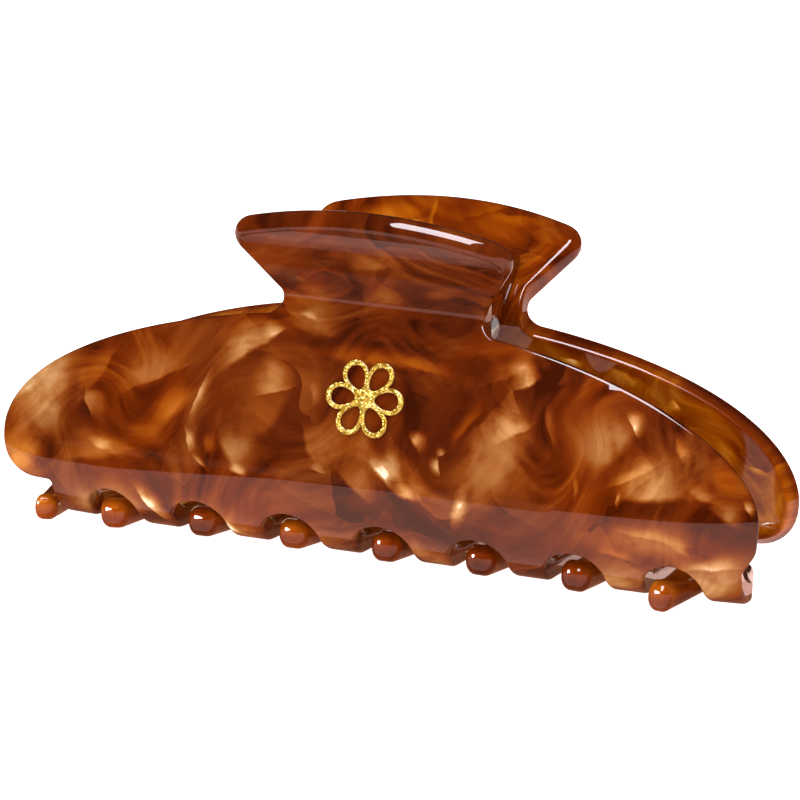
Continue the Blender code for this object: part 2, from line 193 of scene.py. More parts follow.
def bend(u, s):
    """Point of the blank, on the outer face of the front jaw."""
    reach, height = profile(s)
    along_run = max(0.0, -s / TOOTH_RUN)
    lean = FAN * (abs(u) / HALF_LENGTH) ** FAN_POWER * along_run
    drop = RUN_HEIGHT * min(1.0, abs(u) / DROP_FROM) ** DROP_POWER * along_run
    inset = END_INSET * (abs(u) / HALF_LENGTH) ** END_POWER
    return Vector((u - math.copysign(lean, u), inset - reach, height - drop))


def bend_frame(u, s):
    """Unit directions at a point of the sheet: along u, along s, and out of the outer face."""
    step = 0.02 * MM
    along_u = (bend(u + step, s) - bend(u - step, s)).normalized()
    along_s = (bend(u, s + step) - bend(u, s - step)).normalized()
    outward = along_u.cross(along_s).normalized()
    return along_u, outward.cross(along_u), outward


def round_corners(corners):
    """Closed outline through (u, s, radius) corners, each replaced by an arc of its radius."""
    outline = []
    for index, (u, s, radius) in enumerate(corners):
        corner = Vector((u, s))
        before = (Vector(corners[index - 1][:2]) - corner).normalized()
        after = (Vector(corners[(index + 1) % len(corners)][:2]) - corner).normalized()
        opening = before.angle(after)
        if radius == 0 or math.pi - opening < 0.01:
            outline.append(corner)
            continue
        centre = corner + (before + after).normalized() * (radius / math.sin(opening / 2))
        start = corner + before * (radius / math.tan(opening / 2)) - centre
        sweep = math.pi - opening
        if before.x * after.y - before.y * after.x > 0:
            sweep = -sweep
        steps = max(2, math.ceil(abs(sweep) / ARC_STEP))
        for step in range(steps + 1):
            outline.append(centre + Matrix.Rotation(sweep * step / steps, 2) @ start)
    return outline


def crown(u):
    """s of the body's top edge at u."""
    share = min(1.0, abs(u) / HALF_LENGTH)
    return LOBE_HEIGHT + (CROWN_TOP - LOBE_HEIGHT) * (1 - share ** CROWN_POWER) ** (1 / CROWN_POWER)


def top_edge(side, count=40):
    """The body's top edge from the neck to the lobe on one side (+1 or -1)."""
    start = math.asin((NECK_HALF_WIDTH + 2 * NECK_FILLET) / HALF_LENGTH)
    corners = []
    for step in range(count):
        angle = start + (math.pi / 2 - start) * (step / (count - 1)) ** CROWN_SPREAD
        u = HALF_LENGTH * math.sin(angle)
        corners.append((side * u, crown(u), 0))
    return corners


def tab_edge(count=31):
    """Top edge of the tab from its left corner to its right one."""
    corners = []
    for step in range(count):
        share = 2 * step / (count - 1) - 1
        radius = TAB_CORNER if step in (0, count - 1) else 0
        if abs(share) > TAB_CORNER_FROM and radius == 0:
            continue
        rise = TAB_CROWN * (1 - share ** 2)
        corners.append((TAB_HALF_WIDTH * share, CREASE_END + TAB_LENGTH + rise, radius))
    return corners


def tooth_centres():
    centres = [(i - (TEETH - 1) / 2) * PITCH + PITCH / 4 for i in range(TEETH)]
    centres[0] += END_TOOTH_SHIFT
    centres[-1] -= END_TOOTH_SHIFT
    return centres


def blank_outline():
    """Outline of the flat blank, counter-clockwise."""
    neck_s = crown(NECK_HALF_WIDTH)
    corners = tab_edge() + [(NECK_HALF_WIDTH, neck_s, NECK_FILLET)] + top_edge(1)
    corners.append((HALF_LENGTH, SCALLOP_TOP + TAIL_CUT, TAIL_CUT))
    root = TOOTH_ROOT_WIDTH / 2
    tip = TOOTH_TIP_WIDTH / 2
    centres = tooth_centres()
    for index in reversed(range(TEETH)):
        centre = centres[index]
        run = TOOTH_RUN - (END_TOOTH_SHORTER if index == TEETH - 1 else 0)
        corners.append((centre + root, SCALLOP_TOP, SCALLOP_RADIUS if index < TEETH - 1 else NOTCH_RADIUS))
        corners.append((centre + tip, -run, TIP_ROUND))
        corners.append((centre - tip, -run, TIP_ROUND))
        corners.append((centre - root, SCALLOP_TOP, SCALLOP_RADIUS if index > 0 else NOTCH_RADIUS))
    corners.append((-HALF_LENGTH, SCALLOP_TOP, TAIL_RADIUS))
    corners += reversed(top_edge(-1))
    corners.append((-NECK_HALF_WIDTH, neck_s, NECK_FILLET))
    outline = round_corners(corners)
    outline.reverse()
    return outline


def ease(share):
    share = min(1.0, max(0.0, share))
    return share * share * (3 - 2 * share)


def edge_radius(s):
    """The teeth and the tab are rounder than the body's edge."""
    tooth = ease((TOOTH_EDGE_END - s) / TOOTH_EDGE_FADE)
    tab = ease((s - CREASE_END) / TAB_EDGE_FADE)
    return BODY_EDGE + (TOOTH_EDGE - BODY_EDGE) * tooth + (TAB_EDGE - BODY_EDGE) * tab


def flat_solid():
    """The blank as a flat solid with rounded edges: outer face at z = 0, inner face at z = -SHEET.

    The layer "facing" holds each point's normal, which the cuts across the solid interpolate.
    """
    outline = blank_outline()
    count = len(outline)
    rings = []
    quarter = [math.pi / 2 * step / EDGE_STEPS for step in range(EDGE_STEPS + 1)]
    for inner in (False, True):
        for angle in (reversed(quarter) if inner else quarter):
            ring = []
            for index, point in enumerate(outline):
                tangent = (outline[(index + 1) % count] - outline[index - 1]).normalized()
                inward = Vector((-tangent.y, tangent.x))
                radius = edge_radius(point.y)
                place = point + inward * (radius * (1 - math.sin(angle)))
                depth = radius * (1 - math.cos(angle))
                facing = -math.cos(angle) if inner else math.cos(angle)
                side = inward * -math.sin(angle)
                ring.append(((place.x, place.y, depth - SHEET if inner else -depth), (*side, facing)))
            rings.append(ring)
    bm = bmesh.new()
    facing_layer = bm.verts.layers.float_vector.new("facing")
    verts = []
    for ring in rings:
        verts.append([])
        for place, facing in ring:
            vertex = bm.verts.new(place)
            vertex[facing_layer] = facing
            verts[-1].append(vertex)
    bm.faces.new(verts[0])
    bm.faces.new(reversed(verts[-1]))
    for upper, lower in zip(verts, verts[1:]):
        for index in range(count):
            after = (index + 1) % count
            bm.faces.new((upper[index], lower[index], lower[after], upper[after]))
    return bm


def slice_solid(bm):
    """Cut the flat solid across, so that it bends smoothly."""
    def spread(low, high, count):
        return [low + (high - low) * i / count for i in range(count)]

    cuts = spread(-TOOTH_RUN, 0, 6) + spread(0, CURL_END, 20) + spread(CURL_END, CREASE_START, 16)
    cuts += spread(CREASE_START, CREASE_END, 14) + spread(CREASE_END, CREASE_END + TAB_LENGTH, 4)
    cuts.append(CREASE_END + TAB_LENGTH)
    lines = [((0, s, 0), (0, 1, 0)) for s in cuts]
    half = LENGTH_CUTS // 2
    lines += [((HALF_LENGTH * (i / half - 1), 0, 0), (1, 0, 0)) for i in range(1, LENGTH_CUTS)]
    for place, direction in lines:
        everything = bm.verts[:] + bm.edges[:] + bm.faces[:]
        bmesh.ops.bisect_plane(bm, geom=everything, dist=ON_PLANE, plane_co=place, plane_no=direction)
    bmesh.ops.remove_doubles(bm, verts=bm.verts, dist=SLIVER)


def make_jaw(name, half_turn):
    """A bent jaw with exact normals.

    Its attribute holds each point's place in the blank, in millimetres.
    """
    bm = flat_solid()
    slice_solid(bm)
    facing_layer = bm.verts.layers.float_vector["facing"]
    turn = Matrix.Rotation(math.pi if half_turn else 0.0, 3, "Z")
    normals = []
    places = []
    for vertex in bm.verts:
        u, s, z = vertex.co
        facing = vertex[facing_layer]
        along_u, along_s, outward = bend_frame(u, s)
        normal = along_u * facing.x + along_s * facing.y + outward * facing.z
        normals.append((turn @ normal).normalized())
        places.append((u / MM, s / MM, z / MM))
        swell = 1 + TIP_SWELL * ease((TIP_SWELL_LENGTH - TOOTH_RUN - s) / TIP_SWELL_LENGTH)
        vertex.co = turn @ (bend(u, s) + outward * (z * swell))
    bm.verts.layers.float_vector.remove(facing_layer)
    mesh = bpy.data.meshes.new(name)
    bm.to_mesh(mesh)
    bm.free()
    mesh.shade_smooth()
    mesh.normals_split_custom_set_from_vertices(normals)
    attribute = mesh.attributes.new("blank", "FLOAT_VECTOR", "POINT")
    attribute.data.foreach_set("vector", [value for place in places for value in place])
    return add_object(name, mesh)


# ---------------------------------------------------------------- emblem

def petal_window(turn, count=40):
    """Pointed oval inside one petal."""
    base = EMBLEM_RADIUS * PETAL_BASE
    length = EMBLEM_RADIUS - base - EMBLEM_LINE
    points = []
    for step in range(count):
        angle = 2 * math.pi * step / count
        x = base + length * (1 - math.cos(angle)) / 2
        y = EMBLEM_RADIUS * PETAL_WIDTH / 2 * math.sin(angle) * (1 - PETAL_TAPER * math.cos(angle))
        points.append(Matrix.Rotation(turn, 2) @ Vector((x, y)))
    return points


def emblem_outline(count=240):
    points = []
    for step in range(count):
        angle = 2 * math.pi * step / count
        lobe = abs(math.cos(EMBLEM_PETALS * angle / 2)) ** EMBLEM_LOBE_POWER
        radius = EMBLEM_RADIUS * (EMBLEM_WAIST + (1 - EMBLEM_WAIST) * lobe)
        points.append(Vector((radius * math.cos(angle), radius * math.sin(angle))))
    return points


def make_emblem():
    """The blossom as a filled curve with round edges, laid onto the curved wall."""
    curve = bpy.data.curves.new("blossom", "CURVE")
    curve.dimensions = "2D"
    curve.fill_mode = "BOTH"
    curve.extrude = EMBLEM_THICKNESS / 2 - EMBLEM_BEVEL
    curve.bevel_depth = EMBLEM_BEVEL
    curve.bevel_resolution = 3
    curve.offset = -EMBLEM_BEVEL
    loops = [emblem_outline()]
    loops += [petal_window(2 * math.pi * index / EMBLEM_PETALS) for index in range(EMBLEM_PETALS)]
    for loop in loops:
        spline = curve.splines.new("POLY")
        spline.points.add(len(loop) - 1)
        for place, point in zip(spline.points, loop):
            place.co = (point.x, point.y, 0, 1)
        spline.use_cyclic_u = True
    flat = add_object("flat_blossom", curve)
    mesh = evaluated_mesh(flat)
    mesh.name = "emblem_blossom"
    middle = WALL_START + WALL_RADIUS * math.asin((EMBLEM_HEIGHT - SIDE_HEIGHT) / WALL_RADIUS)
    for vertex in mesh.vertices:
        u, s = vertex.co.x, middle + vertex.co.y
        rise = EMBLEM_GAP + EMBLEM_THICKNESS / 2 + vertex.co.z
        vertex.co = bend(u, s) + bend_frame(u, s)[2] * rise
    mesh.shade_smooth()
    mesh.set_sharp_from_angle(angle=math.radians(50))
    return add_object("emblem_blossom", mesh)


# ---------------------------------------------------------------- hinge

def spring_path():
    """Front leg, coil round the pin, back leg, about the pin's axis."""
    reach, height = profile(CREASE_END)
    along = Vector((0, -math.sin(TAB_FLARE), math.cos(TAB_FLARE)))
    outward = Vector((0, -math.cos(TAB_FLARE), -math.sin(TAB_FLARE)))
    corner = Vector((0, -reach, height - HINGE.z))
    crease_end = corner.dot(along)
    leg_bearing = corner.dot(outward) - SHEET - SPRING_GAP - WIRE_RADIUS
    fall = (COIL_RADIUS - leg_bearing) / crease_end
    leg_length = crease_end + SPRING_LEG_PAST_CREASE
    front_end = along * leg_length + outward * (COIL_RADIUS - fall * leg_length)
    end_angle = math.atan2(front_end.z, front_end.y)
    tangent = math.acos(COIL_RADIUS / front_end.length)
    start = end_angle + tangent
    finish = math.pi - end_angle - tangent + 2 * math.pi * COIL_TURNS
    half_coil = COIL_PITCH * (finish - start) / (4 * math.pi)
    steps = round((finish - start) / COIL_STEP)
    points = [Vector((half_coil, front_end.y, front_end.z))]
    for step in range(steps + 1):
        part = step / steps
        angle = start + (finish - start) * part
        points.append(Vector((half_coil * (1 - 2 * part), COIL_RADIUS * math.cos(angle),
                              COIL_RADIUS * math.sin(angle))))
    points.append(Vector((-half_coil, -front_end.y, front_end.z)))
    return points


def make_spring():
    """The spring's wire: a leg on each jaw, and the coil round the pin between them."""
    curve = bpy.data.curves.new("wire", "CURVE")
    curve.dimensions = "3D"
    curve.bevel_depth = WIRE_RADIUS
    curve.bevel_resolution = 4
    curve.use_fill_caps = True
    points = spring_path()
    spline = curve.splines.new("POLY")
    spline.points.add(len(points) - 1)
    for place, point in zip(spline.points, points):
        place.co = (*(point + HINGE), 1)
    wire = add_object("wire", curve)
    mesh = evaluated_mesh(wire)
    mesh.name = "spring_wire"
    mesh.shade_smooth()
    mesh.set_sharp_from_angle(angle=math.radians(60))
    return add_object("spring_wire", mesh), points[0].x


def make_pin(sides=64):
    """Pin turned about X, with a low domed head at each end."""
    half = [(0, PIN_RADIUS), (PIN_REACH, PIN_RADIUS)]
    half += [(PIN_REACH, PIN_HEAD_RADIUS - PIN_HEAD_EDGE), (PIN_REACH + PIN_HEAD_EDGE, PIN_HEAD_RADIUS)]
    for degrees in range(9, 90, 9):
        angle = math.radians(degrees)
        half.append((PIN_REACH + PIN_HEAD_LENGTH * math.sin(angle), PIN_HEAD_RADIUS * math.cos(angle)))
    line = [(-x, radius) for x, radius in reversed(half[1:])] + half
    turns = [2 * math.pi * side / sides for side in range(sides)]
    bm = bmesh.new()
    rings = []
    for x, radius in line:
        places = [HINGE + Vector((x, radius * math.cos(turn), radius * math.sin(turn))) for turn in turns]
        rings.append([bm.verts.new(place) for place in places])
    for ring, after in zip(rings, rings[1:]):
        for side in range(sides):
            bm.faces.new((ring[side - 1], ring[side], after[side], after[side - 1]))
    bm.faces.new(rings[0])
    bm.faces.new(reversed(rings[-1]))
    bmesh.ops.recalc_face_normals(bm, faces=bm.faces)
    mesh = bpy.data.meshes.new("pin")
    bm.to_mesh(mesh)
    bm.free()
    mesh.shade_smooth()
    mesh.set_sharp_from_angle(angle=math.radians(40))
    return add_object("pin", mesh)


def make_lug(node):
    """A lug like the part's, with polished edges."""
    bm = bmesh.new()
    bm.from_mesh(frame["nodes"][node].data)
    bmesh.ops.remove_doubles(bm, verts=bm.verts, dist=0.001 * MM)
    bmesh.ops.dissolve_limit(bm, angle_limit=math.radians(1), verts=bm.verts, edges=bm.edges)
    mesh = bpy.data.meshes.new(node + "_leaf")
    bm.to_mesh(mesh)
    bm.free()
    rough = add_object(node + "_rough", mesh)
    bevel = rough.modifiers.new("polish", "BEVEL")
    bevel.width = LUG_EDGE
    bevel.segments = 4
    bevel.limit_method = "ANGLE"
    bevel.angle_limit = math.radians(40)
    mesh = evaluated_mesh(rough)
    mesh.shade_smooth()
    mesh.set_sharp_from_angle(angle=math.radians(40))
    attribute = mesh.attributes.new("blank", "FLOAT_VECTOR", "POINT")
    for place, vertex in zip(attribute.data, mesh.vertices):
        place.vector = vertex.co / MM
    return add_object(node + "_leaf", mesh)


# ---------------------------------------------------------------- node trees

class Tree:
    """Short calls for building a node tree."""

    def __init__(self, tree):
        self.tree = tree
        tree.nodes.clear()

    def node(self, kind, inputs=None, **settings):
        node = self.tree.nodes.new(kind)
        for key, value in settings.items():
            setattr(node, key, value)
        for key, value in (inputs or {}).items():
            if isinstance(value, bpy.types.NodeSocket):
                self.tree.links.new(value, node.inputs[key])
            else:
                node.inputs[key].default_value = value
        return node

    def math(self, operation, *values, clamp=False):
        node = self.node("ShaderNodeMath", dict(enumerate(values)), operation=operation, use_clamp=clamp)
        return node.outputs[0]

    def vector(self, operation, *values):
        node = self.node("ShaderNodeVectorMath", dict(enumerate(values)), operation=operation)
        return node.outputs["Value" if operation in ("LENGTH", "DOT_PRODUCT") else "Vector"]

    def scaled(self, vector, factor):
        node = self.node("ShaderNodeVectorMath", {0: vector, "Scale": factor}, operation="SCALE")
        return node.outputs["Vector"]

    def noise(self, vector, size, detail=2.0, roughness=0.5):
        inputs = {"Vector": vector, "Scale": 1 / size, "Detail": detail, "Roughness": roughness}
        return self.node("ShaderNodeTexNoise", inputs)

    def warp(self, vector, size, amount, detail=1.0):
        """The vector, pushed about by noise of the given size."""
        push = self.vector("SUBTRACT", self.noise(vector, size, detail).outputs["Color"], (0.5, 0.5, 0.5))
        return self.vector("ADD", vector, self.scaled(push, 2 * amount))

    def remap(self, value, low, high, new_low=0.0, new_high=1.0, smooth=True):
        inputs = {"Value": value, "From Min": low, "From Max": high, "To Min": new_low, "To Max": new_high}
        mode = "SMOOTHSTEP" if smooth else "LINEAR"
        return self.node("ShaderNodeMapRange", inputs, interpolation_type=mode).outputs[0]

    def ramp(self, value, stops):
        node = self.node("ShaderNodeValToRGB", {"Fac": value})
        elements = node.color_ramp.elements
        while len(elements) < len(stops):
            elements.new(0.5)
        for element, (place, colour) in zip(elements, stops):
            element.position = place
            element.color = (*colour, 1.0)
        return node.outputs["Color"]

    def mix_colour(self, share, first, second):
        node = self.node("ShaderNodeMix", data_type="RGBA")
        for index, value in ((0, share), (6, first), (7, second)):
            if isinstance(value, bpy.types.NodeSocket):
                self.tree.links.new(value, node.inputs[index])
            else:
                node.inputs[index].default_value = value if index == 0 else (*value, 1.0)
        return node.outputs[2]


def new_material(name):
    material = bpy.data.materials.new(name)
    material.use_nodes = True
    return material, Tree(material.node_tree)


def finish_material(tree, inputs):
    """Principled shader with these inputs, as the material's surface."""
    shader = tree.node("ShaderNodeBsdfPrincipled", inputs)
    tree.node("ShaderNodeOutputMaterial", {"Surface": shader.outputs["BSDF"]})


def linear(text):
    """Linear colour from a hexadecimal one."""
    values = [int(text[i:i + 2], 16) / 255 for i in (0, 2, 4)]
    return tuple(v / 12.92 if v <= 0.04045 else ((v + 0.055) / 1.055) ** 2.4 for v in values)


# ---------------------------------------------------------------- materials

# Dark to pearly acetate, and the same where light glows through it
ACETATE_TONES = ((0.0, linear("300d02")), (0.22, linear("521d06")), (0.45, linear("703612")),
                 (0.66, linear("8a5a32")), (0.86, linear("b0845a")), (1.0, linear("ffe8c8")))
AMBER_TONES = ((0.0, linear("481200")), (0.28, linear("742a01")), (0.55, linear("9c4c04")),
               (0.82, linear("cc7d20")), (1.0, linear("ffcb7c")))

# Folds of the pearl, painted in this order. Each is a stroke from one point of the blank to another:
# (u, s) and (u, s) in millimetres, half width, sharpness of its right-hand edge as it runs,
# tone (0 dark, 1 pearly), warmth (0 brown, 1 amber) and strength.
FRONT_FOLDS = (
    # left lobe: pale wedges, a painted amber glow where light shows through its lower rim, dark fold
    ((-49, 16), (-46, 31), 8.0, 0.0, 0.78, 0.15, 1.0),
    ((-56, 20.5), (-48, 25), 4.6, 0.6, 0.90, 0.1, 1.0),
    ((-55, 12), (-48, 12), 6.0, 0.2, 0.80, 1.0, 0.9),
    ((-42.6, 13), (-43.2, 29), 2.6, 0.3, 0.18, 0.3, 0.8),
    # the long leaf and the loops round it
    ((-38, 24), (-22, 35), 5.5, 0.2, 0.60, 0.35, 0.8),
    ((-37, 23.2), (-24, 30), 1.6, 0.6, 0.74, 0.3, 0.7),
    ((-41.6, 23), (-37, 31), 1.6, 0.5, 0.55, 0.6, 0.7),
    ((-41.4, 24.5), (-39.8, 19.6), 1.0, 0.6, 0.72, 0.3, 0.8),
    ((-39.5, 18.6), (-33, 18.2), 3.0, 0.3, 0.12, 0.3, 0.85),
    ((-31, 19.2), (-24.6, 26), 2.2, 0.3, 0.62, 0.9, 0.8),
    ((-45, 14), (-33, 15.8), 2.4, 0.5, 0.62, 0.6, 0.7),
    ((-40.2, 16.9), (-36.5, 15.6), 1.1, 0.4, 0.92, 0.4, 0.8),
    # crooked crease and the dark field right of it
    ((-21.5, 22), (-17, 29), 7.0, 0.2, 0.22, 0.35, 0.85),
    ((-14, 21), (-10.4, 33), 6.0, 0.7, 0.30, 0.3, 0.8),
    ((-22.8, 29.8), (-25.8, 20.2), 0.5, 0.6, 0.85, 0.2, 0.9),
    ((-25.8, 20.6), (-24.6, 17.0), 0.8, 0.5, 0.90, 0.2, 0.9),
    ((-24.6, 17.2), (-21.6, 14.8), 0.5, 0.5, 0.78, 0.3, 0.9),
    ((-22.4, 19.6), (-21.2, 17.8), 1.8, 0.2, 0.55, 0.9, 0.6),
    ((-20.6, 21), (-16.8, 14.6), 2.6, 0.5, 0.74, 0.1, 0.85),
    ((-18.6, 15.6), (-16.4, 14.6), 1.1, 0.3, 1.00, 0.1, 0.8),
    # bright diagonal and the curved dark bands under it
    ((-21.8, 28.4), (-13.6, 35.2), 2.2, 0.6, 0.82, 0.2, 0.9),
    ((-16.2, 33.6), (-13.2, 35.3), 1.2, 0.5, 0.98, 0.2, 0.8),
    ((-16, 20), (-11.4, 26.4), 3.6, 0.4, 0.52, 0.4, 0.7),
    ((-16.4, 25.4), (-10.2, 27.6), 1.2, 0.7, 0.78, 0.3, 0.9),
    ((-8.2, 28.4), (-7.2, 26.0), 1.3, 0.3, 0.66, 0.3, 0.7),
    ((-9.0, 23.4), (-5.2, 16.6), 2.2, 0.7, 0.58, 0.25, 0.8),
    ((-6.8, 16.9), (-4.6, 16.7), 0.7, 0.5, 0.88, 0.2, 0.9),
    # below the neck: tan plate, then the amber glow under dark bands
    ((-13.6, 36.6), (-5.8, 35.2), 3.4, 0.6, 0.56, 0.3, 0.85),
    ((-11.8, 38.0), (-9.0, 36.8), 0.9, 0.4, 0.90, 0.3, 0.8),
    ((-6, 36.4), (12, 36.0), 2.0, 0.2, 0.12, 0.6, 0.8),
    ((-10.4, 32.4), (9.6, 32.4), 2.0, 0.3, 0.46, 1.0, 0.85),
    ((2, 33.0), (13, 31.6), 1.1, 0.4, 0.60, 1.0, 0.8),
    # round the emblem's foot
    ((0.2, 26), (0.4, 17.6), 1.5, 0.2, 0.55, 0.2, 0.6),
    ((6.8, 23.2), (8.9, 21.0), 1.2, 0.5, 0.88, 0.4, 0.85),
    ((-3.2, 17.6), (2.6, 13.4), 2.3, 0.6, 0.64, 0.3, 0.85),
    ((1.4, 18.8), (5.4, 15.6), 1.9, 0.6, 1.00, 0.1, 0.95),
    ((5.0, 16.0), (9.6, 14.6), 1.5, 0.4, 0.92, 0.4, 0.9),
    ((11.2, 18.6), (10.9, 21.2), 0.7, 0.5, 0.95, 0.1, 0.9),
    ((10.9, 21.2), (12.3, 21.9), 0.6, 0.5, 0.90, 0.1, 0.9),
    # great golden fold right of the middle
    ((16, 13), (22.6, 29), 7.0, 0.2, 0.68, 0.3, 0.9),
    ((12, 21), (22.4, 34), 2.4, 0.7, 0.10, 0.4, 0.9),
    ((13, 22), (16.4, 29), 1.1, 0.3, 0.50, 1.0, 0.7),
    ((16, 30.6), (22, 34.4), 1.6, 0.5, 0.46, 0.4, 0.7),
    ((20.4, 30.8), (23.4, 32.6), 1.9, 0.6, 1.00, 0.3, 0.95),
    ((18.2, 23.4), (24.4, 26.8), 1.7, 0.6, 0.84, 0.3, 0.9),
    ((15.0, 17.6), (14.1, 11.0), 1.7, 0.2, 1.00, 0.35, 0.95),
    ((23.4, 22), (21.4, 16.6), 1.3, 0.7, 0.40, 0.5, 0.7),
    # dark arrow, and the tan plate right of it
    ((28, 33), (29.2, 21), 4.2, 0.3, 0.20, 0.5, 0.85),
    ((25, 30), (27.5, 23), 0.8, 0.5, 0.60, 0.5, 0.6),
    ((30.2, 21), (30.4, 17), 0.6, 0.4, 0.60, 0.6, 0.7),
    ((32.2, 20.4), (37.6, 29), 4.6, 0.5, 0.70, 0.15, 0.95),
    ((36.2, 29.4), (38.2, 26.6), 0.9, 0.6, 0.98, 0.3, 0.9),
    # right lobe
    ((31.4, 18), (41, 24.6), 1.9, 0.4, 0.16, 0.4, 0.8),
    ((34.4, 19.0), (42.4, 24.4), 0.8, 0.5, 0.72, 0.8, 0.9),
    ((43.1, 27.4), (44.6, 23.8), 1.2, 0.4, 0.76, 0.7, 0.85),
    ((36, 18.6), (46, 19.4), 3.6, 0.6, 0.78, 0.3, 0.95),
    ((36.6, 19.4), (36.0, 16.8), 0.5, 0.3, 0.90, 0.5, 0.8),
    ((45.4, 20.2), (49.8, 19.2), 1.6, 0.4, 0.76, 0.3, 0.8),
    ((48, 24), (51.8, 20.4), 1.8, 0.3, 0.36, 1.0, 0.8),
    ((49.4, 18.4), (52.4, 16.2), 1.8, 0.4, 0.80, 0.1, 0.85),
    ((52.6, 19.8), (54.2, 17.8), 1.0, 0.4, 0.92, 0.2, 0.8),
    # long fibres above the last teeth
    ((32, 13), (50, 13), 4.2, 0.1, 0.66, 0.5, 0.85),
    ((35, 14.2), (48, 13.2), 0.8, 0.5, 0.80, 0.5, 0.7),
    ((34, 11.2), (40, 9.8), 0.8, 0.5, 0.66, 1.0, 0.7),
    ((43, 14.4), (47, 10.8), 0.9, 0.4, 0.76, 0.4, 0.6),
    # pale pearl between the arches
    ((-45, 5), (-30, 8), 5.4, 0.3, 0.74, 0.15, 1.0),
    ((-33.5, 11.5), (-28.6, 5), 1.1, 0.6, 0.96, 0.3, 1.0),
    ((-28, 9), (-14, 1), 3.4, 0.5, 0.74, 0.3, 0.9),
    ((-22, 7.4), (-17, 4), 0.8, 0.5, 1.00, 0.3, 1.0),
    ((-10, 8), (-2, 3), 3.0, 0.3, 0.56, 0.2, 0.7),
    ((5, 9), (13, 2), 4.0, 0.4, 0.70, 0.3, 0.9),
    ((30, 3), (42, 8), 5.0, 0.3, 0.72, 0.25, 1.0),
    ((43, 2), (55, 11), 6.4, 0.3, 0.78, 0.2, 1.0),
    ((45, 9.6), (54, 10.8), 1.2, 0.5, 0.92, 0.2, 0.9),
    # tab
    ((-19, 44), (-9, 50), 5.0, 0.1, 0.30, 0.4, 0.6),
    ((-3.4, 47.2), (3.8, 48.8), 2.0, 0.5, 0.60, 0.3, 0.7),
    ((-2.2, 40.6), (4.6, 41.4), 1.6, 0.5, 0.62, 0.3, 0.7),
    ((6.2, 42.8), (12.4, 44.2), 1.6, 0.3, 0.58, 0.3, 0.6),
    ((-14, 39.4), (16, 39.4), 1.2, 0.2, 0.30, 0.4, 0.5),
)

# Painted shade: a dark wash over the back jaw's teeth, which sit under the front jaw
TEETH_SHADE_WASH = ((-70, -9), (70, -9), 13.0, 0.0, 0.10, 0.7, 0.8)

BACK_FOLDS = (
    # tab, seen from its inner face
    ((15, 49), (3, 52), 5.0, 0.2, 0.62, 0.75, 0.8),
    ((8, 48.4), (2.6, 51), 1.8, 0.6, 0.86, 0.5, 0.8),
    ((2.6, 56), (2.0, 47), 0.45, 0.5, 0.90, 0.4, 0.8),
    ((1.6, 47), (2.2, 56), 2.0, 0.2, 0.26, 0.8, 0.7),
    ((-2, 50), (-14, 51), 5.0, 0.2, 0.36, 0.9, 0.7),
    ((-4, 53.5), (-15, 52), 1.6, 0.3, 0.56, 0.9, 0.6),
    # wall behind the front jaw's right end
    ((-14, 36.5), (-24, 34), 3.0, 0.2, 0.40, 1.0, 0.8),
    ((-20, 34.6), (-23.6, 34.2), 0.9, 0.5, 0.86, 0.5, 0.8),
    ((-26, 33.8), (-34, 31.0), 1.8, 0.5, 0.62, 0.9, 0.85),
    ((-29.2, 32.6), (-31.6, 31.4), 0.8, 0.5, 0.86, 0.6, 0.8),
    ((-24, 32), (-36, 28.0), 2.2, 0.2, 0.20, 0.9, 0.8),
    ((-36.4, 29.8), (-37.6, 28.0), 0.9, 0.4, 0.74, 0.6, 0.8),
    ((-39, 30), (-47, 24), 3.4, 0.3, 0.36, 1.0, 0.8),
    ((-43.6, 24.6), (-47, 21.4), 1.6, 0.5, 0.52, 0.6, 0.7),
    ((-47.4, 21.4), (-52, 20.6), 0.6, 0.5, 0.66, 0.7, 0.8),
    ((-52, 12), (-53, 21), 3.2, 0.3, 0.44, 1.0, 0.8),
)

# Eddies that the marbling winds round: (u, s) in millimetres, radius and turn
EDDIES = (((-37, 21), 8.0, 2.0), ((29, 26), 7.0, -1.4), ((-13, 26), 8.0, 1.0), ((46, 12), 7.0, -1.0))

# Marbling: sizes in millimetres, and how much each pattern moves the tone
BAND_TURN = math.radians(-38.0)
BAND_LENGTH = 30.0
BAND_WIDTH = 8.0
BAND_TONE = 0.38
SILK_LENGTH = 22.0
SILK_WIDTH = 1.6
SILK_TONE = 0.32
FACET_SIZE = 10.0
FACET_TONE = 0.32
CLOUD_SIZE = 15.0
INNER_LIGHTER = 0.24            # tone and warmth that light through the sheet adds on its inner side
INNER_WARMER = 0.4
MOST_AMBER = 0.85
PEARL_BUMP = 1.2 * MM
STROKE_CORE = 0.12              # share of a stroke's reach that has its full strength
STROKE_LEAN = 1.3
MOST_LEAN = 0.94
TRACE = 0.000001
MIRROR_FROM = -8.0              # front folds that start left of this u recur on the back jaw
BACK_SHIFT = (90.0, 40.0)       # these move the marbling, so that it differs from the front jaw's
LUG_SHIFT = (30.0, 10.0)
THROUGH_GLOW = 0.5
FLAKE = 0.2 * MM


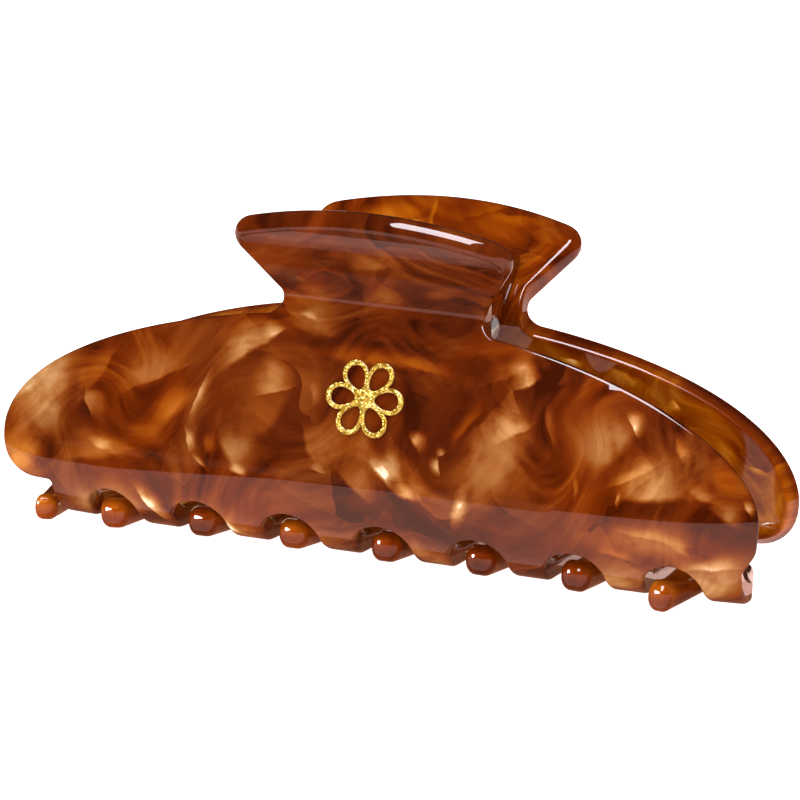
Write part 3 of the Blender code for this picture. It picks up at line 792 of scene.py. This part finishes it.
def fold_and_shade_group():
    """Node group that paints one stroke over (tone, warmth): an oval with a sharp and a soft side."""
    group = bpy.data.node_groups.new("pearl_fold_and_shade", "ShaderNodeTree")
    tree = Tree(group)
    for name in ("Paint", "Place", "Middle", "Turn", "Size", "Lean", "Colour"):
        group.interface.new_socket(name, in_out="INPUT", socket_type="NodeSocketVector")
    group.interface.new_socket("Strength", in_out="INPUT", socket_type="NodeSocketFloat")
    group.interface.new_socket("Paint", in_out="OUTPUT", socket_type="NodeSocketVector")
    given = tree.node("NodeGroupInput").outputs
    # A trace of the last stroke's paint in the place makes the strokes run one after the other,
    # so that they fit in the renderer's small stack
    place = tree.vector("MULTIPLY_ADD", given["Paint"], (TRACE, TRACE, TRACE), given["Place"])
    inputs = {"Vector": place, "Location": given["Middle"], "Rotation": given["Turn"],
              "Scale": given["Size"]}
    local = tree.node("ShaderNodeMapping", inputs, vector_type="TEXTURE").outputs[0]
    local = tree.vector("MULTIPLY_ADD", tree.vector("ABSOLUTE", local), given["Lean"], local)
    mask = tree.remap(tree.vector("LENGTH", local), 1.0, STROKE_CORE, 0.0, given["Strength"])
    mixed = tree.node("ShaderNodeMix", {0: mask}, data_type="VECTOR")
    tree.tree.links.new(given["Paint"], mixed.inputs[4])
    tree.tree.links.new(given["Colour"], mixed.inputs[5])
    tree.node("NodeGroupOutput", {"Paint": mixed.outputs[1]})
    return group


def paint_folds_and_shade(tree, group, paint, place, folds):
    for start, end, width, sharpness, tone, warmth, strength in folds:
        start = Vector(start)
        reach = Vector(end) - start
        lean = min(MOST_LEAN, STROKE_LEAN * sharpness)
        inputs = {"Paint": paint, "Place": place, "Middle": (*(start + reach / 2), 0),
                  "Turn": (0, 0, math.atan2(reach.y, reach.x)), "Lean": (0, -lean, 0),
                  "Size": (reach.length / 2 + width / 2, width * (1 - lean / 2), 1),
                  "Colour": (tone, warmth, 0), "Strength": strength}
        paint = tree.node("ShaderNodeGroup", inputs, node_tree=group).outputs[0]
    return paint


def wind_round(tree, place, centre, radius, turn):
    """The place, turned about the centre, less and less further out."""
    offset = tree.vector("SUBTRACT", place, (*centre, 0))
    distance = tree.math("DIVIDE", tree.vector("LENGTH", offset), radius)
    fade = tree.math("EXPONENT", tree.math("MULTIPLY", tree.math("MULTIPLY", distance, distance), -1.0))
    inputs = {"Vector": place, "Center": (*centre, 0), "Angle": tree.math("MULTIPLY", fade, turn)}
    return tree.node("ShaderNodeVectorRotate", inputs, rotation_type="Z_AXIS").outputs[0]


def acetate(name, group, folds, shift, glow):
    """Marbled pearl acetate under a clear polished surface.

    The marbling is silky bands that wind round the eddies, faint facets, and the listed folds.
    Glow is how much of the amber shows that comes from light passing through the sheet.
    """
    material, tree = new_material(name)
    blank = tree.node("ShaderNodeAttribute", attribute_name="blank").outputs["Vector"]
    flat = tree.vector("MULTIPLY", blank, (1.0, 1.0, 0.0))
    wound = tree.warp(flat, 14.0, 2.0)
    for centre, radius, turn in EDDIES:
        wound = wind_round(tree, wound, centre, radius, turn)
    wound = tree.vector("ADD", wound, (*shift, 0.0))
    wound = tree.warp(wound, 30.0, 12.0)

    turned = tree.node("ShaderNodeVectorRotate", {"Vector": wound, "Angle": BAND_TURN},
                       rotation_type="Z_AXIS").outputs[0]
    bands = tree.vector("MULTIPLY", turned, (1 / BAND_LENGTH, 1 / BAND_WIDTH, 1))
    bands = tree.noise(bands, 1.0, 1.5, 0.5).outputs["Fac"]
    silk = tree.vector("MULTIPLY", turned, (1 / SILK_LENGTH, 1 / SILK_WIDTH, 1))
    silk = tree.noise(silk, 1.0, 3.0, 0.6).outputs["Fac"]
    cloud = tree.noise(wound, CLOUD_SIZE, 1.0).outputs["Fac"]

    bent = tree.warp(wound, 7.0, 2.4, 2.0)
    cells = tree.node("ShaderNodeTexVoronoi", {"Vector": bent, "Scale": 1 / FACET_SIZE})
    inside = tree.scaled(tree.vector("SUBTRACT", bent, cells.outputs["Position"]), 1 / FACET_SIZE)
    lean = tree.vector("SUBTRACT", cells.outputs["Color"], (0.5, 0.5, 0.5))
    facet = tree.vector("DOT_PRODUCT", inside, lean)

    tone = tree.remap(bands, 0.3, 0.7, 0.0, BAND_TONE, smooth=False)
    tone = tree.math("MULTIPLY_ADD", facet, FACET_TONE, tone)
    warmth = tree.remap(cloud, 0.42, 0.66, 0.15, 0.75)
    paint = tree.node("ShaderNodeCombineXYZ", {0: tone, 1: warmth}).outputs[0]
    ragged = tree.warp(tree.warp(flat, 5.0, 0.9, 1.0), 1.1, 0.22, 2.0)
    # The strokes paint the pearl folds, and on the back jaw also the painted shade over its teeth
    paint = paint_folds_and_shade(tree, group, paint, ragged, folds)
    split = tree.node("ShaderNodeSeparateXYZ", {0: paint}).outputs

    tone = tree.math("MULTIPLY_ADD", tree.math("SUBTRACT", silk, 0.5), SILK_TONE, split[0])
    across = tree.node("ShaderNodeSeparateXYZ", {0: blank}).outputs
    deep = tree.remap(across[2], -0.8, -2.4)
    below_tab = tree.remap(across[1], 40.0, 34.0, 0.25, 1.0)
    inner = tree.math("MULTIPLY", deep, below_tab)
    tone = tree.math("MULTIPLY_ADD", inner, INNER_LIGHTER, tone)
    warmth = tree.math("MULTIPLY_ADD", inner, INNER_WARMER, tree.math("ADD", split[1], glow))
    pearl = tree.ramp(tone, ACETATE_TONES)
    amber = tree.ramp(tone, AMBER_TONES)
    colour = tree.mix_colour(tree.math("MULTIPLY", warmth, MOST_AMBER, clamp=True), pearl, amber)

    bump = tree.node("ShaderNodeBump", {"Height": tone, "Strength": 0.35, "Distance": PEARL_BUMP})
    finish_material(tree, {"Base Color": colour, "Metallic": 0.1, "Roughness": 0.45,
                           "Specular IOR Level": 0.0, "Normal": bump.outputs["Normal"],
                           "Coat Weight": 1.0, "Coat Roughness": 0.015, "Coat IOR": 1.6,
                           "Subsurface Weight": glow * 0.6, "Subsurface Radius": (1.0, 0.4, 0.12),
                           "Subsurface Scale": 3 * MM})
    return material


def steel(name, colour, roughness):
    material, tree = new_material(name)
    place = tree.node("ShaderNodeTexCoord").outputs["Object"]
    scratch = tree.noise(tree.vector("MULTIPLY", place, (0.15, 1.0, 1.0)), 0.2 * MM, 3.0).outputs["Fac"]
    rough = tree.remap(scratch, 0.3, 0.7, roughness * 0.7, roughness * 1.4)
    finish_material(tree, {"Base Color": (*colour, 1.0), "Metallic": 0.6, "Roughness": rough})
    return material


def gold_foil(name):
    """Glitter foil under clear lacquer: each flake has its own tilt and tone."""
    material, tree = new_material(name)
    place = tree.node("ShaderNodeTexCoord").outputs["Object"]
    flakes = tree.node("ShaderNodeTexVoronoi", {"Vector": place, "Scale": 1 / FLAKE})
    spread = tree.vector("SUBTRACT", flakes.outputs["Color"], (0.5, 0.5, 0.5))
    normal = tree.node("ShaderNodeNewGeometry").outputs["Normal"]
    tilted = tree.vector("NORMALIZE", tree.vector("ADD", normal, tree.scaled(spread, 0.9)))
    tone = tree.node("ShaderNodeSeparateColor", {"Color": flakes.outputs["Color"]}).outputs[0]
    colour = tree.ramp(tone, ((0.0, linear("a87812")), (0.5, linear("d9ab30")), (1.0, linear("ffe88a"))))
    finish_material(tree, {"Base Color": colour, "Metallic": 0.55, "Roughness": 0.3, "Normal": tilted,
                           "Coat Weight": 1.0, "Coat Roughness": 0.03, "Coat IOR": 1.5})
    return material


# ---------------------------------------------------------------- the clip

def add_piece(piece, node, material, body):
    """The piece stands for the part's node, in this material, and rides on the body if one is given."""
    piece.data.materials.clear()
    piece.data.materials.append(material)
    if body:
        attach(piece, body)
    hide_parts(node)


def build_clip():
    front = make_jaw("front_jaw_sheet", False)
    back = make_jaw("back_jaw_sheet", True)
    group = fold_and_shade_group()
    mirrored = []
    for (start_u, start_s), (end_u, end_s), *look in FRONT_FOLDS:
        if start_u < MIRROR_FROM:
            mirrored.append(((-end_u, end_s), (-start_u, start_s), *look))
    front_look = acetate("marbled_acetate_front", group, FRONT_FOLDS, (0.0, 0.0), 0.0)
    # The back jaw's strokes begin with the painted shade over its teeth
    back_folds_and_shade = (TEETH_SHADE_WASH, *mirrored, *BACK_FOLDS)
    back_look = acetate("marbled_acetate_back", group, back_folds_and_shade, BACK_SHIFT, THROUGH_GLOW)
    add_piece(front, "front_jaw", front_look, "front")
    add_piece(back, "back_jaw", back_look, "back")
    emblem = make_emblem()
    emblem.visible_glossy = False
    add_piece(emblem, "emblem", gold_foil("gold_foil"), "front")
    add_piece(make_pin(), "hinge_pin", steel("pin_steel", linear("cfcac2"), 0.2), "front")
    lug = acetate("lug_acetate", group, (), LUG_SHIFT, THROUGH_GLOW)
    for body in ("front", "back"):
        for side in ("left", "right"):
            node = f"{body}_hinge_lug_{side}"
            add_piece(make_lug(node), node, lug, body)
    spring, coil_end = make_spring()
    wire = steel("spring_steel", linear("b0aca4"), 0.3)
    add_piece(spring, "torsion_spring", wire, None)
    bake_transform(spring)


# ---------------------------------------------------------------- studio

CAMERA_AZIMUTH = math.radians(19.98)
CAMERA_ELEVATION = math.radians(8.53)
CAMERA_ROLL = math.radians(4.17)
CAMERA_DISTANCE = 0.474
CAMERA_LENS = 154.4
CAMERA_SHIFT = (0.001, 0.006)
LOOK_AT = Vector((0, 0, 0.0213))
LIGHTS_LOOK_AT = Vector((0, 0, 0.02))
FLOOR_BELOW = 0.5 * MM
BLACK_CARD_TURN = math.radians(-24.0)
BLACK_CARD_EDGE = Vector((-0.019, -0.070, 0.002))   # the middle of its near edge
WORLD_LIGHT = 0.42
WORLD_IN_REFLECTIONS = 0.02


def towards(azimuth, elevation):
    """The direction from the clip at these angles, as they are on the picture's side."""
    level = math.cos(elevation)
    return Vector((math.sin(azimuth) * level, -math.cos(azimuth) * level, math.sin(elevation)))


def place_camera():
    data = bpy.data.cameras.new("camera")
    camera = add_object("camera", data)
    bpy.context.scene.camera = camera
    back = towards(CAMERA_AZIMUTH, CAMERA_ELEVATION)
    level = Vector((math.cos(CAMERA_AZIMUTH), math.sin(CAMERA_AZIMUTH), 0))
    upright = back.cross(level)
    right = level * math.cos(CAMERA_ROLL) + upright * math.sin(CAMERA_ROLL)
    matrix = Matrix((right, back.cross(right), back)).transposed().to_4x4()
    matrix.translation = LOOK_AT + back * CAMERA_DISTANCE
    camera.matrix_world = matrix
    data.lens = CAMERA_LENS
    data.sensor_width = 36.0
    data.shift_x, data.shift_y = CAMERA_SHIFT
    data.clip_start = 0.01


def area_light(name, azimuth, elevation, distance, size, power, glossy=True, colour=(1, 1, 1)):
    """An area light at these angles in degrees, aimed at the clip. A disk's size is one number."""
    light = bpy.data.lights.new(name, "AREA")
    if isinstance(size, tuple):
        light.shape = "RECTANGLE"
        light.size, light.size_y = size
    else:
        light.shape = "DISK"
        light.size = size
    light.energy = power
    light.color = colour
    item = add_object(name, light)
    direction = towards(math.radians(azimuth), math.radians(elevation))
    item.location = LIGHTS_LOOK_AT + direction * distance
    item.rotation_euler = (-direction).to_track_quat("-Z", "Y").to_euler()
    item.visible_glossy = glossy
    item.visible_camera = False
    return item


def card_material(name, colour, strength):
    material, tree = new_material(name)
    glow = tree.node("ShaderNodeEmission", {"Color": (*colour, 1.0), "Strength": strength})
    tree.node("ShaderNodeOutputMaterial", {"Surface": glow.outputs[0]})
    return material


def add_card(name, material, size, middle, turn):
    """A level card that only shows as a reflection."""
    mesh = bpy.data.meshes.new(name)
    bm = bmesh.new()
    bmesh.ops.create_grid(bm, x_segments=1, y_segments=1, size=0.5)
    bmesh.ops.scale(bm, verts=bm.verts, vec=(*size, 1))
    bm.to_mesh(mesh)
    bm.free()
    mesh.materials.append(material)
    card = add_object(name, mesh)
    card.location = middle
    card.rotation_euler = (0, 0, turn)
    card.visible_camera = False
    card.visible_diffuse = False
    card.visible_shadow = False


def add_floor():
    """A white floor that gives off enough light to stay white."""
    mesh = bpy.data.meshes.new("floor")
    bm = bmesh.new()
    bmesh.ops.create_grid(bm, x_segments=1, y_segments=1, size=6.0)
    bm.to_mesh(mesh)
    bm.free()
    floor = add_object("floor", mesh)
    material, tree = new_material("floor_white")
    finish_material(tree, {"Base Color": (0.9, 0.9, 0.9, 1.0), "Roughness": 0.9,
                           "Emission Color": (1.0, 1.0, 1.0, 1.0), "Emission Strength": 1.0})
    mesh.materials.append(material)
    floor.location = (0, 0, -FLOOR_BELOW)
    floor.visible_glossy = False


def add_cards():
    """What the polished acetate reflects: pale ground, a dark side in front, and painted shade: brown for
    the shaded floor below and just in front of the clip.
    """
    blush = card_material("blush", (1.0, 0.64, 0.56), 1.15)
    black = card_material("black", (0.02, 0.015, 0.01), 1.0)
    # Painted shade: the brown of the floor in the clip's shade, as reflections see it
    floor_shade = card_material("floor_shade", (0.34, 0.15, 0.09), 1.0)
    add_card("blush_card", blush, (4.0, 4.0), Vector((0, 0, -0.0004)), 0.0)
    middle = BLACK_CARD_EDGE + Matrix.Rotation(BLACK_CARD_TURN, 3, "Z") @ Vector((0, -2, 0))
    add_card("black_card", black, (4.0, 4.0), middle, BLACK_CARD_TURN)
    # Painted shade cards: one under the clip, and one just in front of it that the tab sees
    add_card("floor_shade_card", floor_shade, (0.12, 0.024), Vector((0, 0, -0.0003)), 0.0)
    add_card("floor_shade_flag", floor_shade, (0.075, 0.009), Vector((-0.011, -0.0205, 0.0115)), 0.0)


def add_world():
    """White light from all round, almost absent from reflections."""
    world = bpy.data.worlds.new("studio")
    bpy.context.scene.world = world
    world.use_nodes = True
    tree = Tree(world.node_tree)
    seen = tree.node("ShaderNodeLightPath").outputs["Is Glossy Ray"]
    strength = tree.remap(seen, 0.0, 1.0, WORLD_LIGHT, WORLD_IN_REFLECTIONS, smooth=False)
    background = tree.node("ShaderNodeBackground", {"Color": (1, 1, 1, 1), "Strength": strength})
    tree.node("ShaderNodeOutputWorld", {"Surface": background.outputs[0]})


def add_lights():
    """Fills that only light the surfaces, and two lights that only show as reflections."""
    area_light("key", -14, 62, 0.9, (0.5, 0.5), 3.0, glossy=False)
    streak = area_light("edge_streak", -1, 55, 0.9, (0.36, 0.9), 14.0, colour=(0.97, 0.93, 1.0))
    streak.visible_diffuse = False
    sparkle = area_light("tip_sparkle", -36, 9, 0.6, 0.28, 7.0)
    sparkle.visible_diffuse = False
    lit = bpy.data.collections.new("tip_sparkle_lights")
    lit.objects.link(bpy.data.objects["back_jaw_sheet"])
    sparkle.light_linking.receiver_collection = lit
    area_light("front_fill", 5, 30, 1.5, 1.0, 9.0, glossy=False)
    area_light("left_fill", -60, 25, 1.2, (0.8, 0.8), 5.0, glossy=False)
    area_light("right_fill", 75, 20, 1.2, (0.8, 0.8), 4.0, glossy=False)


def build_studio():
    bpy.context.scene.view_settings.view_transform = "Standard"
    add_floor()
    add_cards()
    add_world()
    add_lights()


build_clip()
build_studio()
place_camera()
